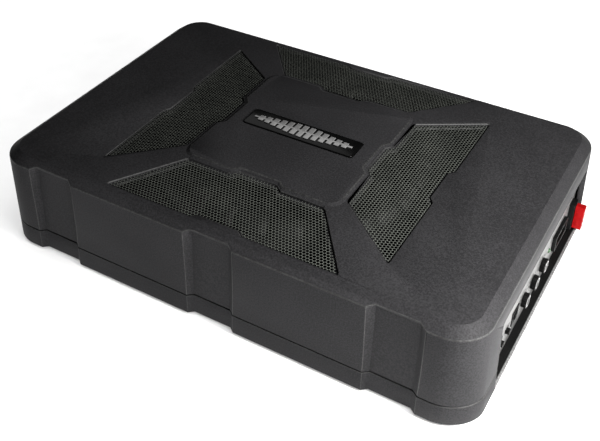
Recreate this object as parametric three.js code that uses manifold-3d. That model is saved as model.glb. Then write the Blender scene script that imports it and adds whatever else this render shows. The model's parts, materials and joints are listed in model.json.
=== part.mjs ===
// Powered car subwoofer: a low amplified loudspeaker box that fits under a seat.
// Millimetres, +Z up. +X is the end with the controls; -Y and +Y are the long ribbed sides.
// The case is drawn about its own middle at the level its feet stand on. The group then moves it
// in X, so that the origin is under the middle of the whole object, fuse included.
import * as THREE from 'three';
import { mergeVertices } from 'three/addons/utils/BufferGeometryUtils.js';
import Module from 'manifold-3d';

const wasm = await Module();
wasm.setup();

// ---- Driving dimensions -------------------------------------------------------------------
const LENGTH = 345;          // X, over the two end walls
const DEPTH = 236;           // Y, over the two long sides
const GAP = 0.3;             // clearance between pieces that touch
const FOOT_STAND = 2;        // the feet hold the case this far off the floor
const CORNER_R = 23;         // vertical corner edges of the case
const CORNER_STEPS = 8;
const CASE_TOP = FOOT_STAND + 72.6;   // flat outer part of the lid
const PARTING_Z = FOOT_STAND + 15.2;  // middle of the seam between the two shells
const SEAM = 1.1;                     // open width of that seam
const WALL = 3.2;
const ROOF = 3.4;
const FLOOR_T = 2.2;
const FLOOR_TOP = FOOT_STAND + FLOOR_T;
const BEVEL_W = 7.3;         // sloping band round the lid, seen from above
const BEVEL_H = 5.2;         // and its height

// Three shallow pockets down each long side.
const POCKET_X = [-124, 0, 124];
const POCKET_FLOOR_HALF = 13.6;
const POCKET_MOUTH_HALF = 17.2;
const POCKET_DEPTH = 3.0;
const POCKET_TOP_DEPTH = 4.2;
const LIP_SETBACK = 2.7;     // the lip over each pocket, back from the wall face
const LIP_DROP = 2.6;        // height of the sloping face under that lip
const POCKET_SPLAY = 0.37;   // how much a pocket widens per millimetre of inset

// The control end leans out from the bevel down to its foot, beyond the corner bosses.
const END_LEAN = 2.5;
const END_LEAN_FROM = 157;

// The raised middle of the lid, its four grille windows and the plateau.
const DOME_RISE = 4.4;
const DOME_TOP = CASE_TOP + DOME_RISE;
const DOME_R = 21;
const PLATEAU_RISE = 1.1;
const PLATEAU_TOP = DOME_TOP + PLATEAU_RISE;
const PLATEAU_BACK = 3.2;    // from a window's inner edge to the plateau's edge
const PLATEAU_RIM = 1.7;
const PLATEAU_R = 10;
const WINDOW_Y = { near: 62.9, far: 108.3, nearHalf: 50.5, farHalf: 84.1 };  // front and back
const WINDOW_X = { near: 60.0, far: 103.8, nearHalf: 50.5, farHalf: 85.3 };  // left and right
const JOG_FLOOR_HALF = 14.4; // the windows' edges step towards the middle here
const JOG_MOUTH_HALF = 19.2;
const JOG_NEAR = 4.2;
const JOG_FAR = 3.4;
const WINDOW_CORNER_R = 2.4;
const LEDGE = 2.4;           // shelf inside each window that carries the grille
const GRILLE_DROP = 0.7;     // the grille lies this far below the lid
const GRILLE_T = 1.0;
const GRILLE_GAP = 0.8;

// Cut-out in the +X end wall, and the panel standing behind it.
const CUT_FRONT = -77;
const CUT_BACK = 96;
const CUT_TOP = FOOT_STAND + 52.5;
const CUT_CORNER_R = 4;
const PANEL_FACE = LENGTH / 2 - 4.2;
const PANEL_T = 2.2;
const PANEL_BACK = PANEL_FACE - PANEL_T;
const PANEL_FRONT_Y = -81;
const PANEL_REAR_Y = 98.5;
const PANEL_TOP = FOOT_STAND + 57;
const CONTROL_Z = FOOT_STAND + 17.5;  // row that the dials, switches and sockets sit on
const FUSE_Z = FOOT_STAND + 15.5;
const KNOB_Y = { gain: -13, bass_boost: 6, crossover: 25 };
const KNOB_R = 5;
const KNOB_SHAFT_R = 2.2;
const SWITCH_Y = { phase: -55, turn_on: -43 };
const JACK_Y = -29;
const LED_Y = 41;
const SOCKET_Y = 62;
const FUSE_Y = 90.5;
const SWITCH_SLOT = { halfY: 4.6, halfZ: 2.4 };
const JACK = { halfY: 5.9, halfZ: 5.3 };
const SOCKET = { halfY: 13.8, halfZ: 5.8 };
const HOLDER = { halfY: 4.6, halfZ: 10.9 };
const HOLDER_DEPTH = 14;     // of the fuse holder, behind the panel
const LED_R = 1.6;

// The loudspeaker, on the axis of the plateau.
const ROUND = 36;            // segments of the large round parts
const PAN_FLOOR = 57;        // underside of the baffle pan
const PAN_T = 2.5;
const PAN_MOUTH_R = 92.5;
const FLANGE_Z = PAN_FLOOR + PAN_T + GAP;
const FLANGE_T = 2.5;
const FLANGE_R = 101;
const BASKET_BASE = 31.6;
const SURROUND_OUTER_R = 89; // where the surround's roll ends on the flange
const EDGE_LAP_R = 71;       // inner edge of the band where surround and cone are glued
const CONE_EDGE_R = 77;
const CONE_NECK_R = 20;
const CONE_NECK_Z = 45;
const COIL_R = 18.6;         // bore of the coil former
const YOKE_Z = 7.5;          // underside of the magnet assembly
const TOP_PLATE_Z = 25.8;
const TOP_PLATE_T = 5.5;

// Fixings.
const BOSS_X = 151;
const BOSS_Y = 104;
const CASE_SCREW_R = 2;
const CASE_SCREW_HEAD_R = 3.9;
const SCREW_HOLE_TOP = 40;
const LID_BOSS_R = 5;
const TRAY_BOSS_R = 5.4;
const BOARD_POST_R = 3.5;
const TONGUE = 2;            // depth of the groove that the gasket lies in
const FOOT_X = 140;
const FOOT_Y = 84;
const FOOT_R = 9;
const BOARD = { x0: 116, x1: 160, y0: -78, y1: 76, z: 12, t: 1.6 };
const BOARD_TOP = BOARD.z + BOARD.t;
const WOOFER_SCREW_RING = 97;
const WOOFER_HOLE_R = 2.1;
const TERMINAL = { x: 86, y: 20, z: 44, apart: 7, size: 8 };
const BADGE = { halfX: 42, halfY: 9.6, r: 2, sunk: 0.8, z: PLATEAU_TOP - 0.5, t: 1.4 };
const SWITCH_TRAVEL = 3;
const SOCKET_PINS = 5;       // in each of two rows
const PIN_SUNK = 6;          // from the socket's mouth back to the pins' tips
const FUSE = { halfZ: 9.5, halfY: 2.5, out: 178.6, seat: LENGTH / 2 - 0.2, legZ: 6.6 };
const PAST = 1;              // cutters run this far beyond the face that they open
const ABOVE_ALL = 90;        // upper end of cutters that go through everything

const QUARTERS = [[1, 1], [-1, 1], [-1, -1], [1, -1]];
const bossPlaces = QUARTERS.map(([sx, sy]) => [sx * BOSS_X, sy * BOSS_Y]);
const footPlaces = QUARTERS.map(([sx, sy]) => [sx * FOOT_X, sy * FOOT_Y]);
const BOARD_MARGIN = 5;
const boardPostPlaces = [BOARD.y0 + BOARD_MARGIN, 0, BOARD.y1 - BOARD_MARGIN].map(
  (y) => [BOARD.x0 + BOARD_MARGIN, y]);
const wooferScrewPlaces = [45, 135, 225, 315].map((degrees) => {
  const angle = (degrees * Math.PI) / 180;
  return [WOOFER_SCREW_RING * Math.cos(angle), WOOFER_SCREW_RING * Math.sin(angle)];
});

// ---- Materials ----------------------------------------------------------------------------
const finish = (color, roughness, metalness = 0) =>
  new THREE.MeshStandardMaterial({ color, roughness, metalness });
const shellPlastic = () => finish(0x2b2a2d, 0.72);
const blackPlastic = () => finish(0x0c0c0d, 0.4);
const rubber = () => finish(0x121212, 0.9);
const steelMesh = () => finish(0x6f7568, 0.45, 0.8);
const zincSteel = () => finish(0xa9abad, 0.35, 1);
const blackScrew = () => finish(0x17171a, 0.4, 0.8);
const satinAluminium = () => finish(0xa8aaae, 0.4, 0.9);

// ---- Solids: making, cutting and joining --------------------------------------------------
function signedVolume(geometry) {
  const index = geometry.index;
  const position = geometry.attributes.position;
  const [a, b, c] = [new THREE.Vector3(), new THREE.Vector3(), new THREE.Vector3()];
  let volume = 0;
  for (let i = 0; i < index.count; i += 3) {
    a.fromBufferAttribute(position, index.getX(i));
    b.fromBufferAttribute(position, index.getX(i + 1));
    c.fromBufferAttribute(position, index.getX(i + 2));
    volume += a.dot(b.cross(c)) / 6;
  }
  return volume;
}

// One welded geometry with its faces pointing out.
function welded(source) {
  const bare = source.clone();
  bare.deleteAttribute('normal');
  bare.deleteAttribute('uv');
  const geometry = mergeVertices(bare, 1e-4);
  if (signedVolume(geometry) < 0) geometry.index.array.reverse();
  return geometry;
}

function toManifold(source) {
  const geometry = welded(source);
  return new wasm.Manifold(new wasm.Mesh({
    numProp: 3,
    vertProperties: new Float32Array(geometry.attributes.position.array),
    triVerts: new Uint32Array(geometry.index.array),
  }));
}

function toGeometry(manifold) {
  const mesh = manifold.getMesh();
  const geometry = new THREE.BufferGeometry();
  geometry.setAttribute('position', new THREE.BufferAttribute(mesh.vertProperties, 3));
  geometry.setIndex(new THREE.BufferAttribute(mesh.triVerts, 1));
  geometry.computeVertexNormals();
  return geometry;
}

const join = (first, ...rest) => rest.reduce((sum, part) => sum.add(part), first);
const cut = (body, ...tools) => tools.reduce((left, tool) => left.subtract(tool), body);

// ---- Outlines and simple solids -----------------------------------------------------------
function roundedRect(halfX, halfY, radius) {
  const shape = new THREE.Shape();
  const [x, y] = [halfX - radius, halfY - radius];
  shape.absarc(x, y, radius, 0, Math.PI / 2);
  shape.absarc(-x, y, radius, Math.PI / 2, Math.PI);
  shape.absarc(-x, -y, radius, Math.PI, Math.PI * 1.5);
  shape.absarc(x, -y, radius, Math.PI * 1.5, Math.PI * 2);
  return shape;
}

const polygon = (points) => new THREE.Shape(points.map(([x, y]) => new THREE.Vector2(x, y)));

// A polygon in which the corners that say so are replaced by short curves.
function softPolygon(corners, radius, steps = 2) {
  const at = (i) => new THREE.Vector2(...corners[(i + corners.length) % corners.length].point);
  return corners.flatMap(({ soft }, i) => {
    const here = at(i);
    if (!soft) return [here];
    const from = here.clone().add(at(i - 1).sub(here).setLength(radius));
    const to = here.clone().add(at(i + 1).sub(here).setLength(radius));
    return new THREE.QuadraticBezierCurve(from, here, to).getPoints(steps);
  });
}

function prism(shape, z0, z1, curveSegments = CORNER_STEPS) {
  const settings = { depth: z1 - z0, bevelEnabled: false, curveSegments };
  return toManifold(new THREE.ExtrudeGeometry(shape, settings).translate(0, 0, z0));
}

// A prism along X whose outline is drawn in Y and Z.
function prismAlongX(shape, x0, x1, curveSegments = 6) {
  const settings = { depth: x1 - x0, bevelEnabled: false, curveSegments };
  const axes = new THREE.Matrix4().makeBasis(
    new THREE.Vector3(0, 1, 0), new THREE.Vector3(0, 0, 1), new THREE.Vector3(1, 0, 0));
  const geometry = new THREE.ExtrudeGeometry(shape, settings).applyMatrix4(axes);
  return toManifold(geometry.translate(x0, 0, 0));
}

// A closed solid through rings that all have the same number of points.
function loft(rings) {
  const count = rings[0].length;
  const flat = rings[0].map((p) => new THREE.Vector2(p.x, p.y));
  const caps = THREE.ShapeUtils.triangulateShape(flat, []);
  const last = (rings.length - 1) * count;
  const index = [];
  caps.forEach(([a, b, c]) => index.push(a, c, b, last + a, last + b, last + c));
  for (let r = 0; r + 1 < rings.length; r += 1) {
    for (let i = 0; i < count; i += 1) {
      const [a, b] = [r * count + i, r * count + ((i + 1) % count)];
      index.push(a, b, b + count, a, b + count, a + count);
    }
  }
  const positions = rings.flat().flatMap((p) => [p.x, p.y, p.z]);
  const geometry = new THREE.BufferGeometry();
  geometry.setAttribute('position', new THREE.Float32BufferAttribute(positions, 3));
  geometry.setIndex(index);
  return toManifold(geometry);
}

function ringAt(points, z) {
  const height = typeof z === 'function' ? z : () => z;
  return points.map((p) => new THREE.Vector3(p.x, p.y, height(p)));
}

function rectRing(halfX, halfY, radius, z) {
  const points = roundedRect(halfX, halfY, radius).getPoints(CORNER_STEPS);
  return ringAt(points.slice(0, -1), z);
}

// A turned solid about the Z axis; the profile is a list of [radius, height].
function turned(profile, segments = ROUND) {
  const points = profile.map(([r, z]) => new THREE.Vector2(r, z));
  return toManifold(new THREE.LatheGeometry(points, segments).rotateX(Math.PI / 2));
}

function ringSolid(inner, outer, z0, z1, segments = ROUND) {
  return turned([[inner, z0], [outer, z0], [outer, z1], [inner, z1], [inner, z0]], segments);
}

function cylinder(radius, z0, z1, x = 0, y = 0, segments = 12) {
  return turned([[0, z0], [radius, z0], [radius, z1], [0, z1]], segments).translate([x, y, 0]);
}

function cylinderAlongX(radius, x0, x1, y, z, segments = 20) {
  return cylinder(radius, x0, x1, 0, 0, segments).rotate([0, 90, 0]).translate([0, y, z]);
}

function box(x0, x1, y0, y1, z0, z1) {
  const geometry = new THREE.BoxGeometry(x1 - x0, y1 - y0, z1 - z0);
  return toManifold(geometry.translate((x0 + x1) / 2, (y0 + y1) / 2, (z0 + z1) / 2));
}

// ---- Case outline with its side pockets ---------------------------------------------------
// Plan of one pocket on the -Y side, grown by an inset, as points from the open side inwards.
function pocketPlan(centre, depth, inset, floorHalf = POCKET_FLOOR_HALF) {
  const side = (POCKET_MOUTH_HALF - POCKET_FLOOR_HALF) / POCKET_DEPTH;
  const outside = 4;
  const inner = floorHalf + POCKET_SPLAY * inset;
  const outer = POCKET_MOUTH_HALF + POCKET_SPLAY * inset + side * (outside + inset);
  const wall = -DEPTH / 2;
  return [
    [centre - outer, wall - outside], [centre + outer, wall - outside],
    [centre + inner, wall + depth + inset], [centre - inner, wall + depth + inset],
  ];
}

const bothSides = (solid) => [solid, solid.mirror([0, 1, 0])];

function pocketPrisms(depth, inset, z0, z1) {
  return POCKET_X.flatMap((x) => bothSides(prism(polygon(pocketPlan(x, depth, inset)), z0, z1)));
}

// The case's plan, inset all round, pockets included.
function casePrism(inset, z0, z1, pocketDepth = POCKET_DEPTH) {
  const plan = roundedRect(LENGTH / 2 - inset, DEPTH / 2 - inset, CORNER_R - inset);
  return cut(prism(plan, z0, z1), ...pocketPrisms(pocketDepth, inset, z0 - PAST, z1 + PAST));
}

// A pocket in the lid: it deepens upwards and ends under a lip cut into the bevel.
function lidPocket(centre) {
  const lipZ = CASE_TOP - BEVEL_H + (BEVEL_H * LIP_SETBACK) / BEVEL_W;
  const draft = 0.3;
  const ring = (depth, floorHalf, z) =>
    ringAt(pocketPlan(centre, depth, 0, floorHalf).map(([x, y]) => ({ x, y })), z);
  return loft([
    ring(POCKET_DEPTH, POCKET_FLOOR_HALF, FOOT_STAND),
    ring(POCKET_TOP_DEPTH, POCKET_FLOOR_HALF, lipZ - LIP_DROP),
    ring(LIP_SETBACK, POCKET_FLOOR_HALF - draft, lipZ),
  ]);
}

// ---- Grille windows -----------------------------------------------------------------------
// Corners of one window as [along the edge, out from the middle], inset all round.
function windowCorners(w, inset) {
  const slope = (w.farHalf - w.nearHalf) / (w.far - w.near);
  const half = (out) => w.nearHalf + slope * (out - w.near) - inset * Math.hypot(1, slope);
  const [near, far] = [w.near + inset, w.far - inset];
  const splay = inset / 2;
  const [mouth, floor] = [JOG_MOUTH_HALF - splay, JOG_FLOOR_HALF - splay];
  const [farMouth, farFloor] = [JOG_MOUTH_HALF + splay, JOG_FLOOR_HALF + splay];
  const nearEdge = [
    [-half(near), near], [-mouth, near], [-floor, near - JOG_NEAR],
    [floor, near - JOG_NEAR], [mouth, near], [half(near), near],
  ];
  const farEdge = [
    [half(far), far], [farMouth, far], [farFloor, far - JOG_FAR],
    [-farFloor, far - JOG_FAR], [-farMouth, far], [-half(far), far],
  ];
  const atEnds = (edge) =>
    edge.map((point, i) => ({ point, soft: i === 0 || i === edge.length - 1 }));
  return [...atEnds(nearEdge), ...atEnds(farEdge)];
}

// Height of the sloping lid at a distance out from the middle.
const slopeZ = (w) => (p) => DOME_TOP - (DOME_RISE * (p.y - w.near)) / (w.far - w.near);

function windowSolid(w, inset, below, above) {
  const points = softPolygon(windowCorners(w, inset), WINDOW_CORNER_R);
  const surface = slopeZ(w);
  return loft([ringAt(points, (p) => surface(p) - below), ringAt(points, (p) => surface(p) + above)]);
}

// The four windows, drawn for +Y and turned into place.
const WINDOWS = {
  back: { plan: WINDOW_Y, turn: 0 },
  left: { plan: WINDOW_X, turn: 90 },
  front: { plan: WINDOW_Y, turn: 180 },
  right: { plan: WINDOW_X, turn: 270 },
};

// ---- Shells -------------------------------------------------------------------------------
// Outline of the plateau, a rounded rectangle with a step towards the middle in each side.
function plateauPlan(outset) {
  const half = {
    x: WINDOW_X.near - PLATEAU_BACK + outset,
    y: WINDOW_Y.near - PLATEAU_BACK + outset,
  };
  const splay = outset * 0.4;
  const mouth = JOG_MOUTH_HALF - splay;
  const floor = JOG_FLOOR_HALF - splay;
  const edge = (h) => [[-mouth, h], [-floor, h - JOG_NEAR], [floor, h - JOG_NEAR], [mouth, h]];
  const back = edge(half.y).reverse();
  const left = edge(half.x).map(([s, u]) => [-u, -s]);
  const front = edge(half.y).map(([s, u]) => [s, -u]);
  const right = edge(half.x).map(([s, u]) => [u, s]);
  const corner = (sx, sy) => new THREE.Vector2(sx * half.x, sy * half.y);
  const arc = (sx, sy, from) => {
    const middle = corner(sx, sy).sub(new THREE.Vector2(sx, sy).multiplyScalar(PLATEAU_R));
    return [0, 18, 36, 54, 72, 90].map((degrees) => {
      const angle = from + (degrees * Math.PI) / 180;
      return [middle.x + PLATEAU_R * Math.cos(angle), middle.y + PLATEAU_R * Math.sin(angle)];
    });
  };
  const quarter = Math.PI / 2;
  const outline = [
    ...arc(1, 1, 0), ...back, ...arc(-1, 1, quarter), ...left,
    ...arc(-1, -1, 2 * quarter), ...front, ...arc(1, -1, 3 * quarter), ...right,
  ];
  return outline.map(([x, y]) => ({ x, y }));
}

function lidBody() {
  const [hx, hy] = [LENGTH / 2, DEPTH / 2];
  const rooted = 2;
  const block = loft([
    rectRing(hx, hy, CORNER_R, PARTING_Z + SEAM / 2),
    rectRing(hx, hy, CORNER_R, CASE_TOP - BEVEL_H),
    rectRing(hx - BEVEL_W, hy - BEVEL_W, CORNER_R - BEVEL_W, CASE_TOP),
  ]);
  const dome = loft([
    rectRing(WINDOW_X.far, WINDOW_Y.far, DOME_R, CASE_TOP - rooted),
    rectRing(WINDOW_X.far, WINDOW_Y.far, DOME_R, CASE_TOP),
    rectRing(WINDOW_X.near, WINDOW_Y.near, PLATEAU_R + 1, DOME_TOP),
  ]);
  const plateau = loft([
    ringAt(plateauPlan(PLATEAU_RIM), DOME_TOP - PAST),
    ringAt(plateauPlan(PLATEAU_RIM), DOME_TOP),
    ringAt(plateauPlan(0), PLATEAU_TOP),
  ]);
  return cut(join(block, dome, plateau), ...POCKET_X.flatMap((x) => bothSides(lidPocket(x))));
}

function lidHollow() {
  const ceiling = CASE_TOP - ROOF;
  const under = loft([
    rectRing(WINDOW_X.far - ROOF, WINDOW_Y.far - ROOF, DOME_R, ceiling - 2 * PAST),
    rectRing(WINDOW_X.far - ROOF, WINDOW_Y.far - ROOF, DOME_R, ceiling),
    rectRing(WINDOW_X.near - ROOF, WINDOW_Y.near - ROOF, PLATEAU_R, DOME_TOP - ROOF),
  ]);
  return join(casePrism(WALL, 0, ceiling, POCKET_TOP_DEPTH), under);
}

// The opening in the control end, from the floor up.
function endCut() {
  const shape = new THREE.Shape();
  const [y0, y1, r] = [CUT_FRONT, CUT_BACK, CUT_CORNER_R];
  shape.moveTo(y0, 0);
  shape.lineTo(y1, 0);
  shape.absarc(y1 - r, CUT_TOP - r, r, 0, Math.PI / 2);
  shape.absarc(y0 + r, CUT_TOP - r, r, Math.PI / 2, Math.PI);
  return prismAlongX(shape, PANEL_FACE - PAST, LENGTH / 2 + 2 * END_LEAN);
}

function topShell() {
  const above = 8;
  const windows = Object.values(WINDOWS).flatMap(({ plan, turn }) => [
    windowSolid(plan, 0, GRILLE_DROP + GRILLE_T + GAP, above).rotate([0, 0, turn]),
    windowSolid(plan, LEDGE, 2 * above, above).rotate([0, 0, turn]),
  ]);
  const play = 0.4;
  const badgeSeat = prism(
    roundedRect(BADGE.halfX + play, BADGE.halfY + play, BADGE.r),
    PLATEAU_TOP - BADGE.sunk, PLATEAU_TOP + 2 * PAST);
  const hollow = cut(lidHollow(), ...bossPlaces.map(([x, y]) =>
    cylinder(LID_BOSS_R, PARTING_Z + SEAM, CASE_TOP, x, y)));
  return leanEnd(cut(lidBody(), hollow, ...windows, badgeSeat, endCut(), ...caseScrewHoles()));
}

const caseScrewHoles = () =>
  bossPlaces.map(([x, y]) => cylinder(CASE_SCREW_R + GAP, 0, SCREW_HOLE_TOP, x, y));

// Moves the control end's wall out, more and more towards its foot.
function leanEnd(solid) {
  const top = CASE_TOP - BEVEL_H;
  return solid.warp((point) => {
    const [x, , z] = point;
    const along = Math.max(0, (x - END_LEAN_FROM) / (LENGTH / 2 - END_LEAN_FROM));
    const down = Math.max(0, (top - z) / (top - FOOT_STAND));
    point[0] = x + END_LEAN * along ** 2 * down;
  });
}

function bottomShell() {
  const top = PARTING_Z - SEAM / 2;
  const tray = cut(
    casePrism(0, FOOT_STAND, top),
    casePrism(WALL, FLOOR_TOP, top + PAST),
    casePrism(WALL / 2, top - TONGUE, top + PAST));
  const bosses = bossPlaces.map(([x, y]) =>
    cylinder(TRAY_BOSS_R, FOOT_STAND, PARTING_Z + SEAM - GAP, x, y));
  const boardPosts = boardPostPlaces.map(([x, y]) =>
    cylinder(BOARD_POST_R, FOOT_STAND + 1, BOARD.z - GAP, x, y));
  const [recessR, recessTop] = [CASE_SCREW_HEAD_R + 0.5, FOOT_STAND + 3];
  const recesses = bossPlaces.map(([x, y]) => cylinder(recessR, 0, recessTop, x, y, 20));
  const opening = box(PANEL_FACE - PAST, LENGTH, CUT_FRONT, CUT_BACK, FLOOR_TOP, ABOVE_ALL);
  const solid = join(tray, ...bosses, ...boardPosts);
  return leanEnd(cut(solid, ...caseScrewHoles(), ...recesses, opening));
}

function shellGasket() {
  const [z0, z1] = [PARTING_Z - SEAM / 2 - TONGUE + GAP, PARTING_Z + SEAM / 2 - GAP];
  const opening = box(PANEL_FACE - PAST, LENGTH, CUT_FRONT - GAP, CUT_BACK + GAP, 0, ABOVE_ALL);
  const band = casePrism(WALL / 2 + GAP, z0, z1);
  return leanEnd(cut(band, casePrism(WALL - GAP, z0 - PAST, z1 + PAST), opening));
}

function caseScrew([x, y]) {
  const head = FOOT_STAND + 0.6;
  const headTop = head + 2;
  const tip = 36;
  const profile = [
    [0, head], [CASE_SCREW_HEAD_R, head], [CASE_SCREW_HEAD_R, headTop],
    [CASE_SCREW_R, headTop + 0.1], [CASE_SCREW_R, tip - 2], [0, tip],
  ];
  return turned(profile, 16).translate([x, y, 0]);
}

function foot([x, y]) {
  const [top, chamfer] = [FOOT_STAND - GAP, 0.8];
  const profile = [[0, 0], [FOOT_R - chamfer, 0], [FOOT_R, chamfer], [FOOT_R, top], [0, top]];
  return turned(profile, 28).translate([x, y, 0]);
}

// ---- Lid furniture ------------------------------------------------------------------------
function grille({ plan, turn }) {
  const low = GRILLE_DROP + GRILLE_T;
  return windowSolid(plan, GRILLE_GAP, low, -GRILLE_DROP).rotate([0, 0, turn]);
}

const badgePlate = () =>
  prism(roundedRect(BADGE.halfX, BADGE.halfY, BADGE.r), BADGE.z, BADGE.z + BADGE.t, 4);

// Plain sound-wave mark: upright bars of swelling height joined by a thin centre line.
function badgeEmblem() {
  const bars = 13;
  const pitch = 5.4;
  const [barHalf, lineHalf] = [1.8, 0.8];
  const [shortest, swell] = [2.6, 4.2];
  const thick = 0.5;
  const end = ((bars + 1) / 2) * pitch;
  const upper = [[-end, lineHalf]];
  for (let i = 0; i < bars; i += 1) {
    const place = i - (bars - 1) / 2;
    const x = place * pitch;
    const tall = shortest + swell * Math.cos((Math.PI * place) / (bars + 1)) ** 2;
    upper.push([x - barHalf, lineHalf], [x - barHalf, tall], [x + barHalf, tall], [x + barHalf, lineHalf]);
  }
  upper.push([end, lineHalf]);
  const lower = upper.map(([x, y]) => [x, -y]).reverse();
  const z = BADGE.z + BADGE.t + GAP;
  return prism(polygon([...upper, ...lower]), z, z + thick);
}

// ---- Loudspeaker --------------------------------------------------------------------------
function bafflePan() {
  const [hx, hy, r] = [107.5, 110, 22];
  const outer = loft([rectRing(hx, hy, r, PAN_FLOOR), rectRing(hx, hy, r, CASE_TOP - ROOF - GAP)]);
  const wall = 1.8;
  const inner = loft([
    rectRing(hx - wall, hy - wall, r - wall, PAN_FLOOR + PAN_T),
    rectRing(hx - wall, hy - wall, r - wall, CASE_TOP),
  ]);
  const mouth = cylinder(PAN_MOUTH_R, 0, ABOVE_ALL, 0, 0, ROUND);
  return cut(outer, inner, mouth, ...wooferScrewHoles());
}

const wooferScrewHoles = () =>
  wooferScrewPlaces.map(([x, y]) => cylinder(WOOFER_HOLE_R, 0, ABOVE_ALL, x, y));

// Pressed frame: a flat bottom round the magnet, a sloping wall with vents, and the flange.
function basket() {
  const [z, base, wall] = [FLANGE_Z, BASKET_BASE, 2.4];
  const [bore, bottomR] = [23, 60];
  const frame = turned([
    [bore, base], [bottomR, base], [91, z - 6], [91.6, z], [FLANGE_R, z], [FLANGE_R, z + FLANGE_T],
    [89, z + FLANGE_T], [88.4, z - 4], [bottomR - 1, base + wall], [bore, base + wall], [bore, base],
  ]);
  const vent = prism(polygon([[54, -13], [84, -19], [84, 19], [54, 13]]), base + 1.4, z - 5);
  const vents = [30, 90, 150, 210, 270, 330].map((degrees) => vent.rotate([0, 0, degrees]));
  return cut(frame, ...vents, ...wooferScrewHoles());
}

function wooferScrew([x, y]) {
  const head = FLANGE_Z + FLANGE_T + GAP;
  const [shankR, headR, tip] = [WOOFER_HOLE_R - GAP, 3.8, PAN_FLOOR - 8];
  const profile = [
    [0, tip], [shankR, tip + 2], [shankR, head], [headR, head], [headR, head + 1.6], [0, head + 2.4],
  ];
  return turned(profile, 16).translate([x, y, 0]);
}

// Half-roll edge, flat where it is glued to the cone and to the flange.
function surround() {
  const thick = 0.9;
  const steps = 6;
  const outerEdge = 92;
  const start = 0.14;
  const base = FLANGE_Z + FLANGE_T + GAP;
  const middle = (CONE_EDGE_R + SURROUND_OUTER_R) / 2;
  const roll = (SURROUND_OUTER_R - CONE_EDGE_R) / 2 + 0.4;
  const arc = (radius, from, to) => Array.from({ length: steps + 1 }, (_, i) => {
    const angle = from + ((to - from) * i) / steps;
    return [middle + radius * Math.cos(angle), base + radius * Math.sin(angle)];
  });
  return turned([
    [EDGE_LAP_R, base], ...arc(roll, Math.PI, 0), [outerEdge, base], [outerEdge, base + thick],
    ...arc(roll + thick, start, Math.PI - start), [EDGE_LAP_R, base + thick], [EDGE_LAP_R, base],
  ]);
}

function cone() {
  const edge = FLANGE_Z + FLANGE_T - GAP;
  const thick = 1.2;
  const rim = CONE_EDGE_R - 1;
  const slope = [[CONE_NECK_R, CONE_NECK_Z], [CONE_NECK_R + 14, 50], [CONE_NECK_R + 34, 55.4]];
  const inside = slope.map(([r, z]) => [r, z + thick]).reverse();
  return turned([
    ...slope, [EDGE_LAP_R + 1, edge - thick], [rim, edge - thick], [rim, edge], [EDGE_LAP_R, edge],
    ...inside, slope[0],
  ]);
}

function dustCap() {
  const rim = 33;
  const rise = 8;
  const base = 51.5;
  const thick = 0.8;
  const curve = (lift) =>
    [0, 0.25, 0.5, 0.75, 1].map((t) => [rim * t, base + lift + rise * (1 - t * t)]);
  return turned([...curve(0), ...curve(thick).reverse()], ROUND);
}

function spider() {
  const [inner, outer, z] = [20.2, 50, 40];
  const waves = 3;
  const [swing, thick] = [1.3, 0.6];
  const steps = waves * 4;
  const wave = (lift) => Array.from({ length: steps + 1 }, (_, i) => {
    const t = i / steps;
    return [inner + (outer - inner) * t, z + lift + swing * Math.sin(t * waves * 2 * Math.PI)];
  });
  return turned([...wave(0), ...wave(thick).reverse(), wave(0)[0]]);
}

// The motor, ring by ring: [bore, outside, underside, top].
const YOKE_T = 5;
const FORMER_T = 0.6;
const POLE_R = COIL_R - 0.7;
const GAP_TOP = TOP_PLATE_Z + TOP_PLATE_T;
const spiderRing = () => ringSolid(44, 52, BASKET_BASE + 2.7, 38.4);
const coilFormer = () => ringSolid(COIL_R, COIL_R + FORMER_T, 19, CONE_NECK_Z - GAP);
const coilWinding = () => ringSolid(COIL_R + FORMER_T + GAP, COIL_R + 2.1, 22.5, 34.5);
const magnet = () => ringSolid(27, 52.5, YOKE_Z + YOKE_T + GAP, TOP_PLATE_Z - GAP);
const topPlate = () => ringSolid(COIL_R + 2.7, 47, TOP_PLATE_Z, GAP_TOP);

function yoke() {
  const [discR, dimpleR, floorTop] = [50, 5, YOKE_Z + YOKE_T];
  return turned([
    [0, YOKE_Z], [discR, YOKE_Z], [discR, floorTop], [POLE_R, floorTop],
    [POLE_R, GAP_TOP], [dimpleR, GAP_TOP], [0, TOP_PLATE_Z],
  ]);
}

function terminalBlock() {
  const { x, y, z, size } = TERMINAL;
  return box(x, x + size, y - size, y + size, z - 4, z + 5);
}

// ---- End panel and its controls -----------------------------------------------------------
function endPanel() {
  const y = { from: PANEL_FRONT_Y, to: PANEL_REAR_Y };
  const plate = box(PANEL_BACK, PANEL_FACE, y.from, y.to, FLOOR_TOP + GAP, PANEL_TOP);
  const shaftHoles = Object.values(KNOB_Y).map((at) => hole(KNOB_SHAFT_R + 1, at));
  const slots = Object.values(SWITCH_Y).map((at) => slot(at, SWITCH_SLOT));
  return cut(plate, ...shaftHoles, ...slots, slot(JACK_Y, grown(JACK)), hole(LED_R + GAP, LED_Y),
    slot(SOCKET_Y, grown(SOCKET, 0.4)), slot(FUSE_Y, grown(HOLDER), FUSE_Z));
}

const hole = (radius, y) =>
  cylinderAlongX(radius, PANEL_BACK - PAST, PANEL_FACE + PAST, y, CONTROL_Z);
const slot = (y, { halfY, halfZ }, z = CONTROL_Z) =>
  box(PANEL_BACK - PAST, PANEL_FACE + PAST, y - halfY, y + halfY, z - halfZ, z + halfZ);
const grown = ({ halfY, halfZ }, by = GAP) => ({ halfY: halfY + by, halfZ: halfZ + by });

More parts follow.
